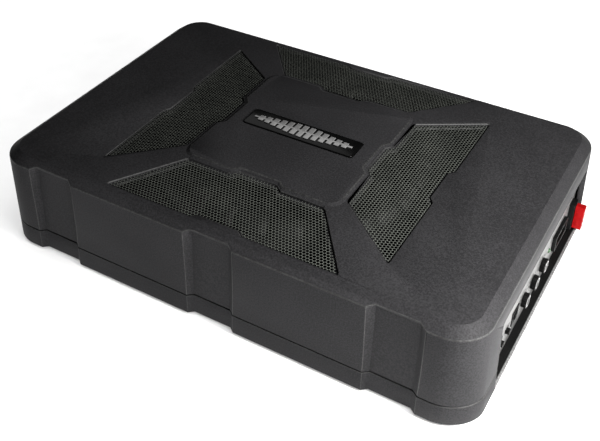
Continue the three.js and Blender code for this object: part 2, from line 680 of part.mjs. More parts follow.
// A fluted knob with a pointer slot, on a shaft that runs back into its potentiometer.
function knob(y) {
  const [x0, x1] = [PANEL_FACE + GAP, PANEL_FACE + 3.4];
  const [fluteCount, fluteR, fluteOut] = [12, 0.9, KNOB_R + 0.5];
  const flutes = Array.from({ length: fluteCount }, (_, i) => {
    const angle = ((i + 0.5) * 2 * Math.PI) / fluteCount;
    const [fy, fz] = [Math.cos(angle) * fluteOut, Math.sin(angle) * fluteOut];
    return cylinderAlongX(fluteR, x0 - PAST, x1 + PAST, y + fy, CONTROL_Z + fz, 8);
  });
  const body = cut(cylinderAlongX(KNOB_R, x0, x1, y, CONTROL_Z, 36), ...flutes);
  const [groove, half, from] = [0.6, 0.5, 0.8];
  const pointer = box(x1 - groove, x1 + PAST, y - half, y + half, CONTROL_Z + from, CONTROL_Z + KNOB_R);
  const shaft = cylinderAlongX(KNOB_SHAFT_R, PANEL_BACK - 7, x1 - 1, y, CONTROL_Z);
  return cut(join(body, shaft), pointer);
}

function potentiometer(y) {
  const x1 = PANEL_BACK - GAP;
  const [deep, half] = [12, 6];
  const body = box(x1 - deep, x1, y - half, y + half, BOARD_TOP + GAP, CONTROL_Z + half);
  return cut(body, cylinderAlongX(KNOB_SHAFT_R + GAP, x1 - 8, x1 + PAST, y, CONTROL_Z));
}

function switchBody(y) {
  const x1 = PANEL_BACK - GAP;
  const [deep, half, well, wellY, wellZ] = [7, 5, 3, 3.9, 1.8];
  const body = box(x1 - deep, x1, y - half, y + half, BOARD_TOP + GAP, CONTROL_Z + 3.2);
  return cut(body, box(x1 - well, x1 + PAST, y - wellY, y + wellY, CONTROL_Z - wellZ, CONTROL_Z + wellZ));
}

// The lever rests at the -Y end of its slot.
function switchLever(y) {
  const at = y - SWITCH_TRAVEL / 2;
  const x0 = PANEL_BACK - GAP - 2.6;
  const [tip, halfY, halfZ, groove] = [PANEL_FACE + 2.4, 1.6, 1.5, 0.4];
  const stem = box(x0, tip, at - halfY, at + halfY, CONTROL_Z - halfZ, CONTROL_Z + halfZ);
  return cut(stem, box(tip - 0.5, tip + PAST, at - groove, at + groove, 0, ABOVE_ALL));
}

// Modular jack for the wired level remote, open towards +X.
function remoteJack() {
  const [x0, x1] = [PANEL_BACK - 12, PANEL_FACE + 0.6];
  const [mouthHalf, latchHalf, back] = [4.6, 2.2, 2];
  const mouthZ = { from: CONTROL_Z - 2, to: CONTROL_Z + 4.2 };
  const body = box(x0, x1, JACK_Y - JACK.halfY, JACK_Y + JACK.halfY,
    CONTROL_Z - JACK.halfZ, CONTROL_Z + JACK.halfZ);
  return cut(body,
    box(x0 + back, x1 + PAST, JACK_Y - mouthHalf, JACK_Y + mouthHalf, mouthZ.from, mouthZ.to),
    box(x0 + back, x1 + PAST, JACK_Y - latchHalf, JACK_Y + latchHalf, mouthZ.from - 2, CONTROL_Z));
}

function powerLed() {
  return turned([
    [0, PANEL_BACK - 3], [LED_R, PANEL_BACK - 3], [LED_R, PANEL_FACE + 0.5],
    [LED_R - 0.6, PANEL_FACE + 1.2], [0, PANEL_FACE + 1.5],
  ], 16).rotate([0, 90, 0]).translate([0, LED_Y, CONTROL_Z]);
}

// Keyed harness socket: a shroud, open towards +X, round two rows of pins.
function harnessSocket() {
  const [x0, x1, floor] = [PANEL_BACK - 12, PANEL_FACE + 2.4, PANEL_BACK - 9];
  const [mouthY, mouthZ, keyHalf, keyTop] = [SOCKET.halfY - 1.4, SOCKET.halfZ - 1.3, 2, 5.1];
  const [pitch, rowZ, pinHalf] = [4.6, 2.1, 0.4];
  const [y0, z0] = [SOCKET_Y, CONTROL_Z];
  const body = box(x0, x1, y0 - SOCKET.halfY, y0 + SOCKET.halfY, z0 - SOCKET.halfZ, z0 + SOCKET.halfZ);
  const mouth = box(floor, x1 + PAST, y0 - mouthY, y0 + mouthY, z0 - mouthZ, z0 + mouthZ);
  const key = box(floor, x1 + PAST, y0 - keyHalf, y0 + keyHalf, z0 + 4, z0 + keyTop);
  const pins = [-1, 1].flatMap((row) => Array.from({ length: SOCKET_PINS }, (_, i) => {
    const y = y0 + (i - (SOCKET_PINS - 1) / 2) * pitch;
    const z = z0 + row * rowZ;
    return box(x0 + 1, x1 - PIN_SUNK, y - pinHalf, y + pinHalf, z - pinHalf, z + pinHalf);
  }));
  return join(cut(body, mouth, key), ...pins);
}

function fuseHolder() {
  const x0 = PANEL_BACK - HOLDER_DEPTH;
  const [slotY, slotZ] = [0.9, 3];
  const body = box(x0, FUSE.seat - GAP, FUSE_Y - HOLDER.halfY, FUSE_Y + HOLDER.halfY,
    FUSE_Z - HOLDER.halfZ, FUSE_Z + HOLDER.halfZ);
  const blades = [-1, 1].map((side) => FUSE_Z + side * FUSE.legZ).map((z) =>
    box(x0 + 3, LENGTH / 2, FUSE_Y - slotY, FUSE_Y + slotY, z - slotZ, z + slotZ));
  return cut(body, ...blades);
}

// Blade fuse: a plastic head over two flat legs.
function fuse() {
  const head = box(FUSE.seat, FUSE.out, FUSE_Y - FUSE.halfY, FUSE_Y + FUSE.halfY,
    FUSE_Z - FUSE.halfZ, FUSE_Z + FUSE.halfZ);
  const [legY, legZ, legLong] = [0.4, 2.5, 13];
  const legs = [-1, 1].map((side) => FUSE_Z + side * FUSE.legZ).map((z) =>
    box(FUSE.seat - legLong, FUSE.seat + 1, FUSE_Y - legY, FUSE_Y + legY, z - legZ, z + legZ));
  return join(head, ...legs);
}

// ---- Amplifier ----------------------------------------------------------------------------
function ampBoard() {
  const board = box(BOARD.x0, BOARD.x1, BOARD.y0, BOARD.y1, BOARD.z, BOARD_TOP);
  const beyond = 200;
  const notch = box(PANEL_BACK - HOLDER_DEPTH - GAP, beyond, SOCKET_Y - 15, beyond, 0, ABOVE_ALL);
  const front = box(PANEL_BACK - 13, beyond, JACK_Y - 7, JACK_Y + 7, 0, ABOVE_ALL);
  return cut(board, notch, front);
}

// A can with a crimped groove near its foot.
function capacitor(x, y) {
  const [z, radius, edge, tall] = [BOARD_TOP + GAP, 9, 8.2, 30];
  const profile = [
    [0, z], [edge, z], [radius, z + 0.8], [radius, z + 2.6], [radius - 0.6, z + 3.2],
    [radius, z + 3.8], [radius, z + tall - 1], [edge, z + tall], [0, z + tall],
  ];
  return turned(profile, 28).translate([x, y, 0]);
}

function inductor() {
  const [ringR, tubeR] = [10, 5];
  const tube = new THREE.TorusGeometry(ringR, tubeR, 12, 28);
  return toManifold(tube).translate([134, -60, BOARD_TOP + GAP + tubeR]);
}

function transformer() {
  const z = BOARD_TOP + GAP;
  const core = box(121, 147, 30, 58, z + 3, z + 22);
  const base = box(119, 149, 28, 60, z, z + 3);
  return join(core, base, box(117.5, 150.5, 35, 53, z + 6, z + 19));
}

const HEAT_SINK_FACE = 129;

function heatSink() {
  const z = BOARD_TOP + GAP;
  const [count, pitch, thick, tall, back] = [9, 6, 2, 26, { x0: 126, x1: HEAT_SINK_FACE }];
  const fins = Array.from({ length: count }, (_, i) => -40 + i * pitch).map((y) =>
    box(back.x0 - 9, back.x0, y, y + thick, z, z + tall));
  return join(box(back.x0, back.x1, -42, 12, z, z + tall), ...fins);
}

// Body, tab above it and legs below, against the heat sink's face.
function transistor(y) {
  const [z, x0, half] = [BOARD_TOP + GAP, HEAT_SINK_FACE + GAP, 5];
  return join(
    box(x0, 134, y - half, y + half, z + 5, z + 14),
    box(x0, 130.6, y - half, y + half, z + 14, z + 20),
    box(131, 132, y - 3, y + 3, z, z + 5));
}

// A speaker lead, arching from the board up to its terminal.
function lead(side) {
  const y = TERMINAL.y + (side * TERMINAL.apart) / 2;
  const end = TERMINAL.x + TERMINAL.size + 2 * GAP;
  const path = new THREE.CatmullRomCurve3([
    new THREE.Vector3(122, y, BOARD_TOP + GAP), new THREE.Vector3(122, y, 26),
    new THREE.Vector3(116, y, TERMINAL.z - 1), new THREE.Vector3(end + 4, y, TERMINAL.z),
    new THREE.Vector3(end, y, TERMINAL.z),
  ]);
  const wireR = 1.3;
  const circle = new THREE.Shape().absarc(0, 0, wireR, 0, Math.PI * 2);
  const settings = { steps: 10, extrudePath: path, curveSegments: 8, bevelEnabled: false };
  return toManifold(new THREE.ExtrudeGeometry(circle, settings));
}

// ---- Assembly -----------------------------------------------------------------------------
const group = new THREE.Group();
group.position.x = -(FUSE.out - LENGTH / 2) / 2;

function add(name, solid, material) {
  const mesh = new THREE.Mesh(toGeometry(solid), material);
  mesh.name = name;
  group.add(mesh);
}

add('top_shell', topShell(), shellPlastic());
add('bottom_shell', bottomShell(), shellPlastic());
add('shell_gasket', shellGasket(), rubber());
Object.entries(WINDOWS).forEach(([side, place]) => add(`grille_${side}`, grille(place), steelMesh()));
add('badge_plate', badgePlate(), finish(0x050505, 0.15));
add('badge_emblem', badgeEmblem(), satinAluminium());
bossPlaces.forEach((place, i) => add(`case_screw_${i + 1}`, caseScrew(place), blackScrew()));
footPlaces.forEach((place, i) => add(`rubber_foot_${i + 1}`, foot(place), rubber()));

add('baffle_pan', bafflePan(), blackPlastic());
add('woofer_basket', basket(), finish(0x1b1b1d, 0.5, 0.6));
wooferScrewPlaces.forEach((place, i) => add(`woofer_screw_${i + 1}`, wooferScrew(place), blackScrew()));
add('cone_surround', surround(), rubber());
add('cone', cone(), finish(0x1a1a1c, 0.6));
add('dust_cap', dustCap(), finish(0x161618, 0.45));
add('spider', spider(), finish(0xb58a3c, 0.9));
add('spider_ring', spiderRing(), finish(0x9a7a4a, 0.9));
add('coil_former', coilFormer(), finish(0xc9b27a, 0.5));
add('coil_winding', coilWinding(), finish(0xb5602c, 0.35, 1));
add('magnet', magnet(), finish(0x2c2b2b, 0.7, 0.2));
add('top_plate', topPlate(), zincSteel());
add('yoke', yoke(), zincSteel());
add('terminal_block', terminalBlock(), blackPlastic());

add('end_panel', endPanel(), satinAluminium());
Object.entries(KNOB_Y).forEach(([name, y]) => {
  add(`${name}_knob`, knob(y), blackPlastic());
  add(`${name}_pot`, potentiometer(y), finish(0x3a6e4a, 0.6));
});
Object.entries(SWITCH_Y).forEach(([name, y]) => {
  add(`${name}_switch_body`, switchBody(y), zincSteel());
  add(`${name}_switch_lever`, switchLever(y), blackPlastic());
});
add('remote_jack', remoteJack(), blackPlastic());
add('power_led', powerLed(), finish(0x9fd8a0, 0.2));
add('harness_socket', harnessSocket(), blackPlastic());
add('fuse_holder', fuseHolder(), blackPlastic());
add('fuse', fuse(), finish(0xd81c22, 0.25));

add('amp_board', ampBoard(), finish(0x1f5c38, 0.5));
add('capacitor_1', capacitor(143, 13.5), finish(0x1d1f2b, 0.35));
add('capacitor_2', capacitor(143, -13.5), finish(0x1d1f2b, 0.35));
add('inductor', inductor(), finish(0xa8562a, 0.4, 0.8));
add('transformer', transformer(), finish(0x3c3a38, 0.7));
add('heat_sink', heatSink(), satinAluminium());
add('transistor_1', transistor(-30), blackPlastic());
add('transistor_2', transistor(-4), blackPlastic());
add('lead_red', lead(1), finish(0xa01818, 0.5));
add('lead_black', lead(-1), finish(0x101010, 0.5));

export default group;
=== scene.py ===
"""Looks of a flat powered car subwoofer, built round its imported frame. Metres, +Z up."""
import json
import math

import bmesh
import bpy
from mathutils import Matrix, Vector, geometry

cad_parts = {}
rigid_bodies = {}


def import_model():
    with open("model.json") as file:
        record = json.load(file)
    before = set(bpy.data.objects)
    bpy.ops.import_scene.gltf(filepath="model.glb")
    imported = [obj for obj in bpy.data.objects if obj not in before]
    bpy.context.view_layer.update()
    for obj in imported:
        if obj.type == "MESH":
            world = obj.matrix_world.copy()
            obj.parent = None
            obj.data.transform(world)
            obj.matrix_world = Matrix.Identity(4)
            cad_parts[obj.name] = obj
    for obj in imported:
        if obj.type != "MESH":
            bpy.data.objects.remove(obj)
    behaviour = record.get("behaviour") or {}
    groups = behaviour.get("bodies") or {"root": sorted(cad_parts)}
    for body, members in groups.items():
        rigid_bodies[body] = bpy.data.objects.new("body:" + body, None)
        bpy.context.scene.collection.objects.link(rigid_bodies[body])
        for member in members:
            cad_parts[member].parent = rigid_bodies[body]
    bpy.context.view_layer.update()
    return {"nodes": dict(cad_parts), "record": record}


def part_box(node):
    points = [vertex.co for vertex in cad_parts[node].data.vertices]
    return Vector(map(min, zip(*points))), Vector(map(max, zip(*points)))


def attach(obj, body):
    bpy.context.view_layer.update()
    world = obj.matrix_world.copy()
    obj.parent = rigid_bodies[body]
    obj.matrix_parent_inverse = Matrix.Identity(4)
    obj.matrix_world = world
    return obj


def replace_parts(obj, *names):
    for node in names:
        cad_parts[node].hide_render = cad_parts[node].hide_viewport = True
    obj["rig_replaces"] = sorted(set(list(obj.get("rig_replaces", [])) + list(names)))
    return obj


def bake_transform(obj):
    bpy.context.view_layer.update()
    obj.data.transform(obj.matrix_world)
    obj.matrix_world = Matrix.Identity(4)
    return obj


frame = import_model()
NODES = frame["nodes"]
BODY_OF = {node: body for body, members in frame["record"]["behaviour"]["bodies"].items()
           for node in members}
SLOT_OF = {row["node"]: row["material_slot"] for row in frame["record"]["subparts"]}
MM = 0.001
WELD = 1e-6             # metres within which two vertices are one
DELAUNAY_WELD = 1e-7
ROUNDED_FROM = 28       # degrees; folds sharper than this are rounded on ordinary pieces


# ---- Materials -------------------------------------------------------------------------------
class Surface:
    """One procedural material, built node by node on its Principled shader."""

    def __init__(self, name, roughness=0.5, metallic=0.0, specular=0.5, coat=0.0, coat_roughness=0.1,
                 sheen=0.0, transmission=0.0):
        self.material = bpy.data.materials.new(name)
        self.material.use_nodes = True
        self.tree = self.material.node_tree
        self.shader = self.tree.nodes["Principled BSDF"]
        self.set("Roughness", roughness)
        self.set("Metallic", metallic)
        self.set("Specular IOR Level", specular)
        self.set("Coat Weight", coat)
        self.set("Coat Roughness", coat_roughness)
        self.set("Sheen Weight", sheen)
        self.set("Transmission Weight", transmission)
        self.coords = self.node("ShaderNodeTexCoord").outputs["Object"]

    def set(self, socket, value):
        self.shader.inputs[socket].default_value = value

    def node(self, kind, **settings):
        made = self.tree.nodes.new(kind)
        for key, value in settings.items():
            if hasattr(made, key):
                setattr(made, key, value)
            else:
                made.inputs[key].default_value = value
        return made

    def link(self, output, target):
        self.tree.links.new(output, target)

    def stretched(self, scale):
        mapping = self.node("ShaderNodeMapping")
        mapping.inputs["Scale"].default_value = scale
        self.link(self.coords, mapping.inputs["Vector"])
        return mapping.outputs["Vector"]

    def noise(self, size, detail=3.0, stretch=(1, 1, 1)):
        made = self.node("ShaderNodeTexNoise", Scale=1 / size, Detail=detail, Roughness=0.6)
        self.link(self.stretched(stretch), made.inputs["Vector"])
        return made.outputs["Fac"]

    def cells(self, size, feature="F1", stretch=(1, 1, 1)):
        made = self.node("ShaderNodeTexVoronoi", feature=feature, Scale=1 / size)
        self.link(self.stretched(stretch), made.inputs["Vector"])
        return made.outputs["Distance"]

    def bands(self, size, direction, distortion=0.0):
        made = self.node("ShaderNodeTexWave", bands_direction=direction, Scale=math.pi / (10 * size),
                         Distortion=distortion)
        self.link(self.coords, made.inputs["Vector"])
        return made.outputs["Fac"]

    def blend(self, a, b, operation="ADD", weight=0.5):
        """a and b as one value: weighted sum, or another operation."""
        if operation != "ADD":
            made = self.node("ShaderNodeMath", operation=operation)
            self.link(a, made.inputs[0])
            self.link(b, made.inputs[1])
            return made.outputs[0]
        made = self.node("ShaderNodeMix", data_type="FLOAT")
        made.inputs[0].default_value = weight
        self.link(a, made.inputs[2])
        self.link(b, made.inputs[3])
        return made.outputs[0]

    def spread(self, value, low, high, from_low=0.3, from_high=0.7):
        made = self.node("ShaderNodeMapRange")
        for i, v in zip((1, 2, 3, 4), (from_low, from_high, low, high)):
            made.inputs[i].default_value = v
        self.link(value, made.inputs[0])
        return made.outputs[0]

    def colour(self, value, *stops):
        """The base colour runs over (place, colour) stops as value rises."""
        ramp = self.node("ShaderNodeValToRGB")
        while len(ramp.color_ramp.elements) < len(stops):
            ramp.color_ramp.elements.new(0.5)
        for element, (place, rgb) in zip(ramp.color_ramp.elements, stops):
            element.position = place
            element.color = (*rgb, 1)
        self.link(value, ramp.inputs[0])
        self.link(ramp.outputs[0], self.shader.inputs["Base Color"])
        return self

    def rough(self, value, low, high):
        self.link(self.spread(value, low, high), self.shader.inputs["Roughness"])
        return self

    def relief(self, value, strength, height):
        bump = self.node("ShaderNodeBump", Strength=strength, Distance=height)
        self.link(value, bump.inputs["Height"])
        self.link(bump.outputs[0], self.shader.inputs["Normal"])
        return self


def grained(name, dark, light, roughness, size=0.7 * MM, strength=0.5, specular=0.5, **more):
    """Moulded or cast surface: fine grain in relief and colour over slow, wide changes."""
    s = Surface(name, specular=specular, **more)
    fine, wide = s.noise(size), s.noise(60 * size, 2.0)
    s.colour(s.blend(fine, wide, weight=0.25), (0.42, dark), (0.60, light))
    s.rough(s.blend(fine, wide, weight=0.5), roughness - 0.06, roughness + 0.08)
    return s.relief(s.blend(fine, s.cells(1.3 * size), weight=0.4), strength, 0.12 * MM).material


def brushed(name, dark, light, roughness, axis=1, **more):
    """Metal with hair lines along one axis and a few soft blotches."""
    stretch = [40, 40, 40]
    stretch[axis] = 1
    s = Surface(name, metallic=1.0, **more)
    lines, wide = s.noise(6 * MM, 4.0, stretch), s.noise(15 * MM, 2.0)
    s.colour(s.blend(lines, wide, weight=0.4), (0.35, dark), (0.65, light))
    s.rough(lines, roughness - 0.08, roughness + 0.1)
    return s.relief(lines, 0.25, 0.03 * MM).material


def satin(name, dark, light, roughness, size=1.5 * MM, metallic=1.0, **more):
    """Plated, painted or printed surface: small speckle, cloudy roughness, nearly flat relief."""
    s = Surface(name, metallic=metallic, **more)
    fine, wide = s.noise(size, 4.0), s.noise(14 * size, 2.0)
    s.colour(s.blend(fine, wide, weight=0.5), (0.35, dark), (0.65, light))
    s.rough(wide, roughness - 0.07, roughness + 0.1)
    return s.relief(fine, 0.15, 0.04 * MM).material


def woven(name, dark, light, pitch=0.9 * MM):
    """Resin-dipped cloth: threads both ways, darker between them."""
    s = Surface(name, roughness=0.8, sheen=0.2)
    weave = s.blend(s.bands(pitch, "X", 0.3), s.bands(pitch, "Y", 0.3), "MULTIPLY")
    cloud = s.noise(8 * MM, 2.0)
    s.colour(s.blend(weave, cloud, weight=0.35), (0.15, dark), (0.6, light))
    s.rough(cloud, 0.68, 0.9)
    return s.relief(weave, 0.6, 0.15 * MM).material


def wound(name, dark, light, pitch, roughness=0.3):
    """Enamelled wire laid turn by turn up the Z axis."""
    s = Surface(name, metallic=0.9, coat=0.4)
    turns, cloud = s.bands(pitch, "Z"), s.noise(5 * MM, 2.0)
    s.colour(s.blend(turns, cloud, weight=0.3), (0.1, dark), (0.7, light))
    s.rough(cloud, roughness - 0.08, roughness + 0.1)
    return s.relief(turns, 0.7, 0.2 * MM).material


def circuit(name):
    """Solder mask over copper tracks, which stand up as paler green lines."""
    s = Surface(name, coat=0.35, coat_roughness=0.25)
    tracks = s.cells(5 * MM, "DISTANCE_TO_EDGE", (1, 1, 0.01))
    edge = s.spread(tracks, 1.0, 0.0, 0.05, 0.09)
    cloud = s.noise(2 * MM, 3.0)
    s.colour(s.blend(edge, cloud, weight=0.25), (0.1, (0.010, 0.075, 0.030)), (0.75, (0.045, 0.21, 0.085)))
    s.rough(cloud, 0.35, 0.5)
    return s.relief(edge, 0.5, 0.05 * MM).material


def fuse_plastic(name):
    """Clear red moulding: deep colour that thins towards pale cloudy streaks."""
    s = Surface(name, specular=0.05)
    streaks = s.noise(4 * MM, 3.0, (1, 3, 1))
    s.colour(streaks, (0.3, (0.19, 0.0025, 0.003)), (0.7, (0.27, 0.005, 0.006)))
    s.rough(s.noise(1.2 * MM), 0.30, 0.48)
    return s.relief(s.noise(0.8 * MM), 0.08, 0.03 * MM).material


def lens(name):
    """Clear green lamp lens, frosted a little by its moulding."""
    s = Surface(name, transmission=0.2, coat=0.3)
    cloud = s.noise(0.8 * MM)
    s.colour(cloud, (0.3, (0.02, 0.06, 0.02)), (0.7, (0.05, 0.12, 0.05)))
    s.rough(cloud, 0.08, 0.25)
    return s.relief(cloud, 0.1, 0.02 * MM).material


def grey(v):
    return (v, v, v)


MATERIALS = {
    "shell_plastic": grained("shell_plastic", (0.0185, 0.0182, 0.0194), (0.0335, 0.033, 0.0352), 0.6,
                             size=1 * MM, strength=0.42, specular=0.1),
    "gasket_rubber": grained("gasket_rubber", grey(0.003), grey(0.006), 0.75, strength=0.3, specular=0.15),
    "foot_rubber": grained("foot_rubber", grey(0.010), grey(0.018), 0.8, size=1 * MM, strength=0.5),
    "grille_steel": satin("grille_steel", (0.09, 0.097, 0.087), (0.165, 0.175, 0.155), 0.45, metallic=0.1,
                          specular=0.25),
    "badge_black": satin("badge_black", grey(0.001), grey(0.003), 0.16, size=3 * MM, metallic=0.0,
                         specular=0.2, coat=0.15),
    "badge_silver": satin("badge_silver", grey(0.20), grey(0.34), 0.34, size=2 * MM, metallic=0.2),
    "screw_black": satin("screw_black", grey(0.02), grey(0.05), 0.38, size=0.8 * MM, metallic=0.8),
    "pan_plastic": grained("pan_plastic", grey(0.0015), grey(0.003), 0.7, size=1 * MM, strength=0.25,
                           specular=0.1),
    "basket_steel": satin("basket_steel", grey(0.004), grey(0.009), 0.5, metallic=0.0, specular=0.2),
    "surround_rubber": grained("surround_rubber", grey(0.002), grey(0.004), 0.6, size=1.2 * MM,
                               strength=0.15, specular=0.15),
    "cone_plastic": grained("cone_plastic", grey(0.002), grey(0.005), 0.6, size=2 * MM, strength=0.3,
                            specular=0.15),
    "dust_cap_plastic": satin("dust_cap_plastic", grey(0.003), grey(0.006), 0.4, size=2 * MM, metallic=0.0),
    "spider_cloth": woven("spider_cloth", (0.22, 0.12, 0.03), (0.52, 0.32, 0.10)),
    "ring_board": grained("ring_board", (0.22, 0.14, 0.06), (0.36, 0.25, 0.12), 0.8, size=1.5 * MM),
    "former_film": satin("former_film", (0.42, 0.27, 0.09), (0.62, 0.45, 0.19), 0.35, metallic=0.0, coat=0.4),
    "copper_wire": wound("copper_wire", (0.30, 0.09, 0.03), (0.72, 0.30, 0.12), 0.35 * MM),
    "ferrite": grained("ferrite", grey(0.016), grey(0.040), 0.72, size=1.6 * MM, strength=0.6),
    "zinc_steel": satin("zinc_steel", (0.36, 0.37, 0.36), (0.60, 0.60, 0.58), 0.34, size=3 * MM),
    "black_moulding": grained("black_moulding", grey(0.002), grey(0.005), 0.42, size=0.8 * MM, strength=0.2,
                              specular=0.15),
    "panel_silver": satin("panel_silver", grey(0.125), grey(0.165), 0.42, size=0.7 * MM, metallic=0.3),
    "knob_black": grained("knob_black", grey(0.0015), grey(0.004), 0.36, size=0.8 * MM, strength=0.15,
                          specular=0.12),
    "lever_black": grained("lever_black", grey(0.0015), grey(0.004), 0.4, size=0.6 * MM, strength=0.2,
                           specular=0.12),
    "pot_green": grained("pot_green", (0.03, 0.12, 0.055), (0.055, 0.19, 0.09), 0.5, size=1 * MM,
                         strength=0.2),
    "lamp_clear": lens("lamp_clear"),
    "fuse_red": fuse_plastic("fuse_red"),
    "board_green": circuit("board_green"),
    "capacitor_sleeve": satin("capacitor_sleeve", (0.008, 0.010, 0.024), (0.016, 0.020, 0.045), 0.28,
                              metallic=0.0, coat=0.5),
    "inductor_copper": wound("inductor_copper", (0.26, 0.07, 0.02), (0.66, 0.25, 0.09), 1.2 * MM),
    "transformer_core": wound("transformer_core", grey(0.03), grey(0.075), 0.7 * MM, 0.5),
    "heat_sink_alloy": brushed("heat_sink_alloy", grey(0.42), grey(0.60), 0.38, axis=2),
    "lead_red": satin("lead_red", (0.30, 0.010, 0.010), (0.45, 0.02, 0.02), 0.4, metallic=0.0),
    "lead_black": satin("lead_black", grey(0.006), grey(0.012), 0.42, metallic=0.0),
}
# Painted highlight: a lighter grey for the rounded outer edges of the case, in place of the glints that light
# puts on them.
EDGE_HIGHLIGHT_PAINT = grained("painted_edge_highlight", grey(0.020), grey(0.048), 0.45, size=1.5 * MM, strength=0.3,
                    specular=0.3)
# Painted light: a pale grey for the sill at the foot of the end recess, the case's dark plastic painted as if
# brightly lit.
SILL_LIGHT_PAINT = grained("sill_painted_light", grey(0.11), grey(0.22), 0.45, size=1.5 * MM, strength=0.3, specular=0.4)
PRINT_BLACK = satin("print_black", grey(0.006), grey(0.012), 0.5, size=0.4 * MM, metallic=0.0)
# Painted shade: near black for the walls and undersides of the grille holes and for the sheet on the end
# recess floor, where shade falls.
HOLE_SHADE_PAINT = grained("grille_hole_painted_shade", grey(0.002), grey(0.005), 0.6, specular=0.1)
TIN = satin("tin_plating", grey(0.42), grey(0.55), 0.34, size=0.8 * MM)


# ---- Mesh helpers ----------------------------------------------------------------------------
def shown(name, bm, body, slot, material=None):
    """A finished piece from a bmesh: material slot, CAD body (or none yet) and smooth faces."""
    mesh = bpy.data.meshes.new(name)
    bm.to_mesh(mesh)
    bm.free()
    obj = bpy.data.objects.new(name, mesh)
    bpy.context.scene.collection.objects.link(obj)
    mesh.materials.append(material or MATERIALS[slot])
    mesh.shade_smooth()
    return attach(obj, body) if body else obj


def cad_copy(node):
    """The CAD node as a bmesh with shared vertices and its flat areas as single faces."""
    bm = bmesh.new()
    bm.from_mesh(NODES[node].data)
    bmesh.ops.remove_doubles(bm, verts=bm.verts, dist=WELD)
    bmesh.ops.dissolve_limit(bm, angle_limit=math.radians(0.4), verts=bm.verts, edges=bm.edges)
    bmesh.ops.recalc_face_normals(bm, faces=bm.faces)
    bm.normal_update()
    return bm


def round_edges(obj, width, segments=2):
    bevel = obj.modifiers.new("soft_edges", "BEVEL")
    bevel.width = width
    bevel.segments = segments
    bevel.limit_method = "ANGLE"
    bevel.angle_limit = math.radians(ROUNDED_FROM)
    bevel.use_clamp_overlap = True
    bevel.harden_normals = True
    return obj


CREASE = 20             # degrees; a fold sharper than this is an edge of the case
ROUND_AND_HIGHLIGHT_FROM = 32          # degrees; outer edges sharper than this are rounded
ROOF_FOLD = 35.5        # degrees between the roof and the band round it, a fold that stays crisp
FOLD_PLAY = 1.5
ROOM = 1.5              # widths of plain surface that a rounded edge needs beside it
UPRIGHT_WEIGHT = 0.45   # upright edges are rounded less


def round_and_highlight_edges(obj, width, keep, segments=2):
    """Rounds the outer edges, away from the height keep (the seam), and gives the rounded faces a lighter
    grey as a painted highlight; the other sharp edges stay crisp.
    """
    bm = bmesh.new()
    bm.from_mesh(obj.data)
    weight = bm.edges.layers.float.new("bevel_weight_edge")
    sharp = {e for e in bm.edges if e.calc_face_angle(0) > math.radians(CREASE)}
    for edge in sharp:
        beside = [e for v in edge.verts for e in v.link_edges if e not in sharp]
        roomy = all(e.calc_length() > ROOM * width for e in beside)
        far = max(abs(v.co.z - keep) for v in edge.verts) > 1 * MM
        angle = math.degrees(edge.calc_face_angle(0))
        highlit = angle > ROUND_AND_HIGHLIGHT_FROM and abs(angle - ROOF_FOLD) > FOLD_PLAY
        edge.smooth = edge.is_convex and roomy and far and highlit
        along = edge.verts[0].co - edge.verts[1].co
        upright = abs(along.z) > 0.9 * along.length
        edge[weight] = float(edge.smooth) * (UPRIGHT_WEIGHT if upright else 1.0)
    bm.to_mesh(obj.data)
    bm.free()
    # The rounded faces take the lighter grey: a painted highlight along the case's outer edges.
    obj.data.materials.append(EDGE_HIGHLIGHT_PAINT)
    bevel = obj.modifiers.new("round_and_highlight_edges", "BEVEL")
    bevel.width = width
    bevel.segments = segments
    bevel.limit_method = "WEIGHT"
    bevel.use_clamp_overlap = False
    bevel.harden_normals = True
    bevel.material = 1
    return obj


def softened(node, width, segments=2):
    """Stands for a CAD node: the same solid with its edges rounded off."""
    obj = shown(f"{node}_finished", cad_copy(node), BODY_OF[node], SLOT_OF[node])
    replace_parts(obj, node)
    return round_edges(obj, width, segments)


def ordered_loop(edges):
    """The vertices of a closed run of edges, in order."""
    beside = {}
    for edge in edges:
        for vert in edge.verts:
            beside.setdefault(vert, []).append(edge.other_vert(vert))
    first = next(iter(beside))
    loop, here = [first], beside[first][0]
    while here is not first:
        loop.append(here)
        here = next(v for v in beside[here] if v is not loop[-2])
    return [vert.co.copy() for vert in loop]


def returned(node, steps=96, start=0.0, sweep=2 * math.pi):
    """A turned CAD part, or a closed wedge of it, spun again in finer steps from its own profile."""
    low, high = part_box(node)
    axis = Vector(((low.x + high.x) / 2, (low.y + high.y) / 2, 0))
    source = bmesh.new()
    source.from_mesh(NODES[node].data)
    bmesh.ops.remove_doubles(source, verts=source.verts, dist=WELD)
    bmesh.ops.translate(source, verts=source.verts, vec=-axis)
    flat = [v for v in source.verts if abs(v.co.y) < WELD and v.co.x > -WELD]
    kept = set(flat)
    profile = [e for e in source.edges if e.verts[0] in kept and e.verts[1] in kept]
    bm = bmesh.new()
    copies = {v: bm.verts.new(v.co) for v in flat}
    edges = [bm.edges.new((copies[e.verts[0]], copies[e.verts[1]])) for e in profile]
    source.free()
    whole = sweep > 6
    bmesh.ops.rotate(bm, verts=bm.verts, cent=(0, 0, 0), matrix=Matrix.Rotation(start, 3, "Z"))
    bmesh.ops.spin(bm, geom=list(bm.verts) + edges, cent=(0, 0, 0), axis=(0, 0, 1),
                   angle=sweep, steps=steps, use_merge=whole)
    bmesh.ops.remove_doubles(bm, verts=bm.verts, dist=WELD)
    if not whole:
        bmesh.ops.holes_fill(bm, edges=[e for e in bm.edges if e.is_boundary])
    bmesh.ops.translate(bm, verts=bm.verts, vec=axis)
    bmesh.ops.recalc_face_normals(bm, faces=bm.faces)
    return bm


